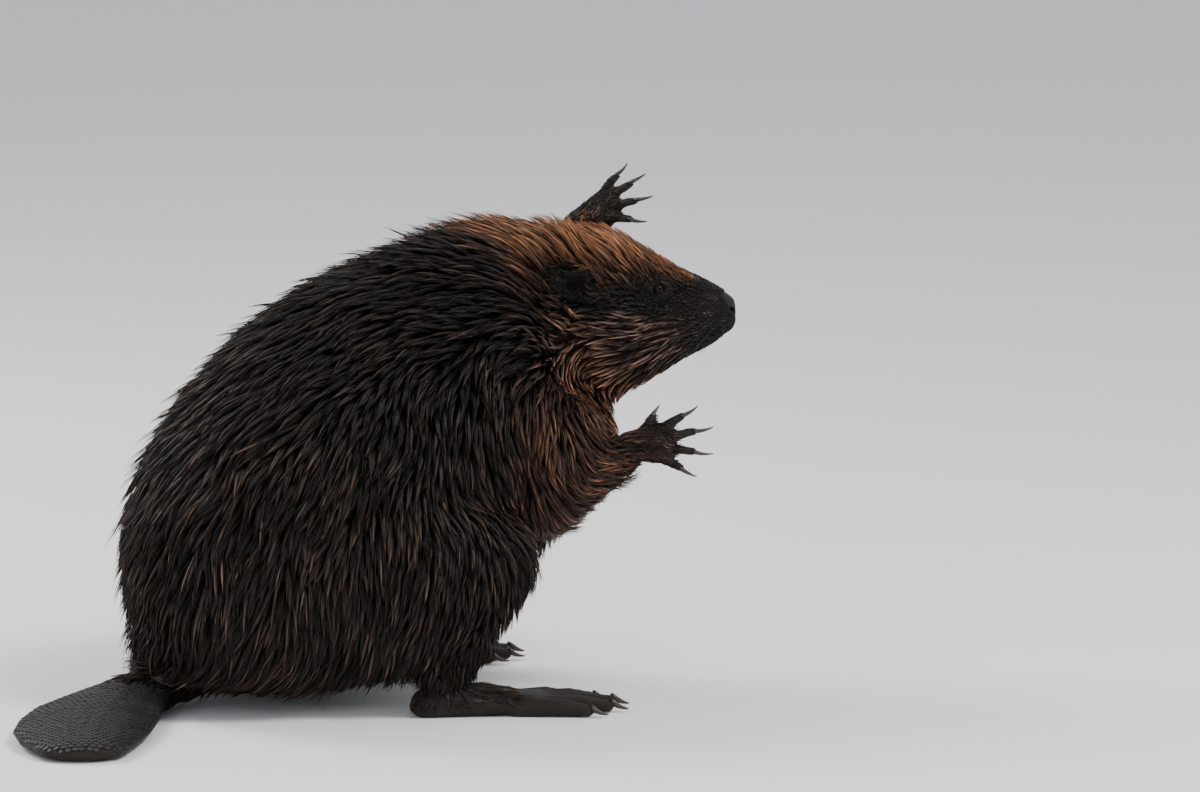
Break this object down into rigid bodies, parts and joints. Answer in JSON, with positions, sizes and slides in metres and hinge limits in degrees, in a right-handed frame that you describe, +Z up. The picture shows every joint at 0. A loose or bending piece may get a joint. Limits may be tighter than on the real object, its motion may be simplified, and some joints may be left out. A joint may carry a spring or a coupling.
{
  "type": "beaver",
  "caption": "Life-size still beaver reared on its hind feet, head turned and both forepaws raised, its broad scaly tail laid on the floor behind it.",
  "frame": {"origin": "on the floor, at the middle of the whole animal's extent from tail to nose and from side to side", "axes": "+X forward, from the rump towards the chest; +Y towards the animal's left; +Z up"},
  "size_m": [0.6462, 0.3828, 0.4216],
  "materials": {
    "coat": "dark brown wet fur in pointed locks, with a soft sheen",
    "crown_coat": "warm brown long fur of the crown and nape",
    "muzzle_coat": "short charcoal fur that lies flat",
    "nose_skin": "bare pebbled skin, slightly moist",
    "paw_skin": "dark bare creased skin with a few short hairs",
    "tail_scales": "dark flat scales, satin",
    "eye": "wet and glossy",
    "claw": "horn, satin to gloss"
  },
  "bodies": {
    "root": {"head": "crown_coat", "lower_jaw": "muzzle_coat", "nose": "nose_skin", "neck": "crown_coat", "chest": "coat", "trunk": "coat", "eye_left": "eye", "ear_left": "coat", "upper_arm_left": "coat", "forearm_left": "coat", "forepaw_left": "paw_skin", "fore_claw_left_1": "claw", "fore_claw_left_2": "claw", "fore_claw_left_3": "claw", "fore_claw_left_4": "claw", "fore_claw_left_5": "claw", "thigh_left": "coat", "shank_left": "coat", "hind_foot_left": "paw_skin", "hind_claw_left_1": "claw", "hind_claw_left_2": "claw", "hind_claw_left_3": "claw", "hind_claw_left_4": "claw", "hind_claw_left_5": "claw", "eye_right": "eye", "ear_right": "coat", "upper_arm_right": "coat", "forearm_right": "coat", "forepaw_right": "paw_skin", "fore_claw_right_1": "claw", "fore_claw_right_2": "claw", "fore_claw_right_3": "claw", "fore_claw_right_4": "claw", "fore_claw_right_5": "claw", "thigh_right": "coat", "shank_right": "coat", "hind_foot_right": "paw_skin", "hind_claw_right_1": "claw", "hind_claw_right_2": "claw", "hind_claw_right_3": "claw", "hind_claw_right_4": "claw", "hind_claw_right_5": "claw", "tail_root": "coat", "tail": "tail_scales"}
  },
  "joints": []
}
